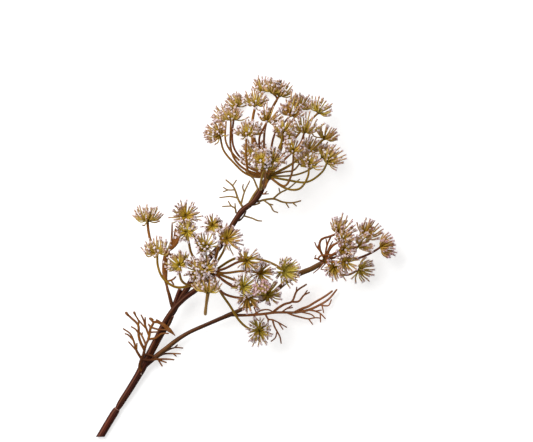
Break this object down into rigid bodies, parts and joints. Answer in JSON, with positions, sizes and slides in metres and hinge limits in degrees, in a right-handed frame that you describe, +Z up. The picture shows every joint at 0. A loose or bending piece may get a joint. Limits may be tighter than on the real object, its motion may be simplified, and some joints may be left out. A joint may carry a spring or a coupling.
{
  "type": "dill stem",
  "caption": "Cut flowering dill stem lying flat, branched, with compound umbels and thread-like leaves.",
  "frame": {"origin": "on the surface the stem lies on, under the middle of the whole stem's box", "axes": "+Z up off the surface, +Y from the cut end towards the top umbel, +X towards the right umbel"},
  "size_m": [0.3, 0.3592, 0.1241],
  "materials": {
    "stem": "satin",
    "branch": "satin",
    "umbel": "matte",
    "leaf": "matte"
  },
  "bodies": {
    "root": {"main_stem": "stem", "middle_branch": "stem", "right_branch": "branch", "lower_leaf": "leaf", "lower_back_leaf": "leaf", "tall_leaf": "leaf", "right_leaf": "leaf", "upper_left_leaf": "leaf", "upper_joint_leaf": "leaf", "hub_leaf": "leaf", "inner_right_leaf": "leaf", "upper_right_leaf": "leaf", "top_umbel": "umbel", "middle_umbel": "umbel", "right_umbel": "umbel"}
  },
  "joints": []
}
